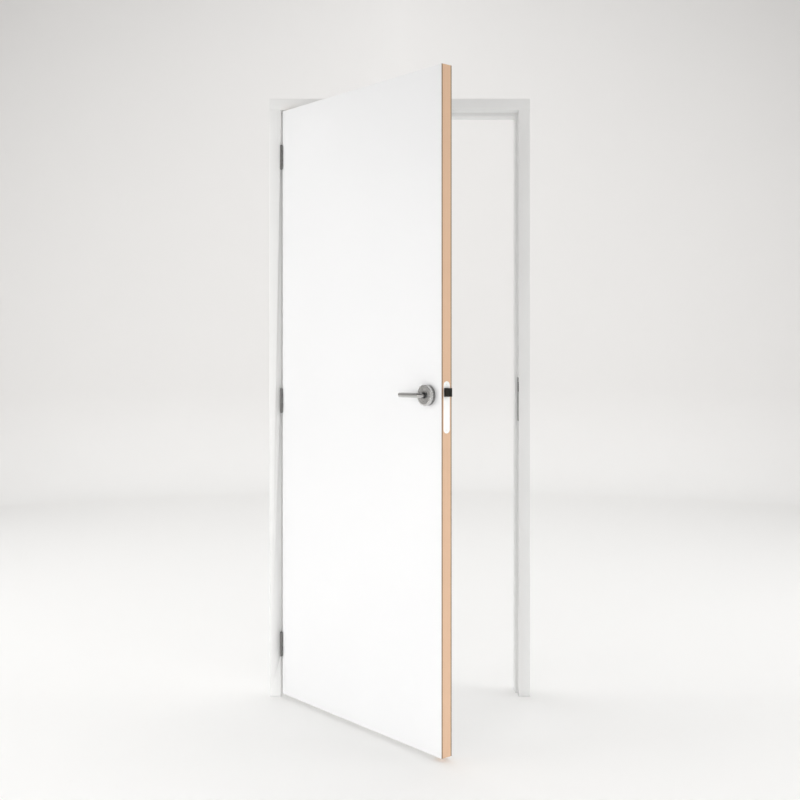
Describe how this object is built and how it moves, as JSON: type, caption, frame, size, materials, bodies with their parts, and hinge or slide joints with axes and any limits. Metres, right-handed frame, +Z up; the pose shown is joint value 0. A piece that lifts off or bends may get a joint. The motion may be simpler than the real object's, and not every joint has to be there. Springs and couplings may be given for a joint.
{
  "type": "flush hollow core door",
  "caption": "White flush hollow core door leaf on butt hinges in a rebated painted timber frame, standing open, with round lever handles and a latch.",
  "frame": {"origin": "centre of the hinge jamb's foot, on the finished floor", "axes": "+X across the doorway from the hinge jamb to the lock jamb, -Y the side the leaf opens to, +Z up"},
  "size_m": [0.914, 0.7413, 2.097],
  "materials": {
    "frame_paint": "grey-white painted softwood, satin",
    "hinge_steel": "satin steel, dark",
    "screw_steel": "plain steel",
    "strike_steel": "satin steel",
    "box_plastic": "black moulded plastic",
    "leaf_lacquer": "white lacquered fibreboard skin, satin, raw brown at its cut edges",
    "pine": "bare planed pine",
    "card": "brown card strips",
    "case_steel": "zinc plated steel",
    "forend_paint": "white lacquered steel",
    "satin_steel": "brushed stainless steel, satin",
    "latch_black": "black, low gloss"
  },
  "bodies": {
    "frame": {"hinge_jamb": "frame_paint", "lock_jamb": "frame_paint", "head_jamb": "frame_paint", "strike_plate": "strike_steel", "strike_box": "box_plastic", "strike_screws": "screw_steel", "jamb_hinge_plate_bottom": "hinge_steel", "jamb_hinge_plate_middle": "hinge_steel", "jamb_hinge_plate_top": "hinge_steel", "hinge_pin_bottom": "hinge_steel", "hinge_pin_middle": "hinge_steel", "hinge_pin_top": "hinge_steel", "jamb_hinge_screws": "screw_steel"},
    "leaf": {"front_skin": "leaf_lacquer", "back_skin": "leaf_lacquer", "hinge_stile": "pine", "lock_stile": "pine", "bottom_rail": "pine", "top_rail": "pine", "lock_block": "pine", "core": "card", "lock_case": "case_steel", "forend": "forend_paint", "forend_screws": "forend_paint", "leaf_hinge_plate_bottom": "hinge_steel", "leaf_hinge_plate_middle": "hinge_steel", "leaf_hinge_plate_top": "hinge_steel", "leaf_hinge_screws": "screw_steel", "front_rose": "satin_steel", "back_rose": "satin_steel"},
    "lever_set": {"front_lever": "satin_steel", "back_lever": "satin_steel", "spindle": "case_steel"},
    "latch": {"latch_bolt": "latch_black"}
  },
  "joints": [
    {"name": "door_swing", "type": "hinge", "parent": "frame", "child": "leaf", "pos_m": [0.022, -0.0545, 0], "axis": [0, 0, -1], "range_deg": [-49.8, 120.2]},
    {"name": "lever_turn", "type": "hinge", "parent": "leaf", "child": "lever_set", "pos_m": [0.53836, -0.62757, 1.077], "axis": [-0.7638, -0.6455, 0], "range_deg": [0, 40], "stiffness_Nm_per_rad": 1.5, "springref_deg": -20.05},
    {"name": "latch_slide", "type": "slide", "parent": "leaf", "child": "latch", "axis": [-0.6455, 0.7638, 0], "range_m": [0, 0.017]}
  ],
  "couplings": [
    {"joint": "latch_slide", "follows": "lever_turn", "m_per_rad": 0.02434}
  ]
}
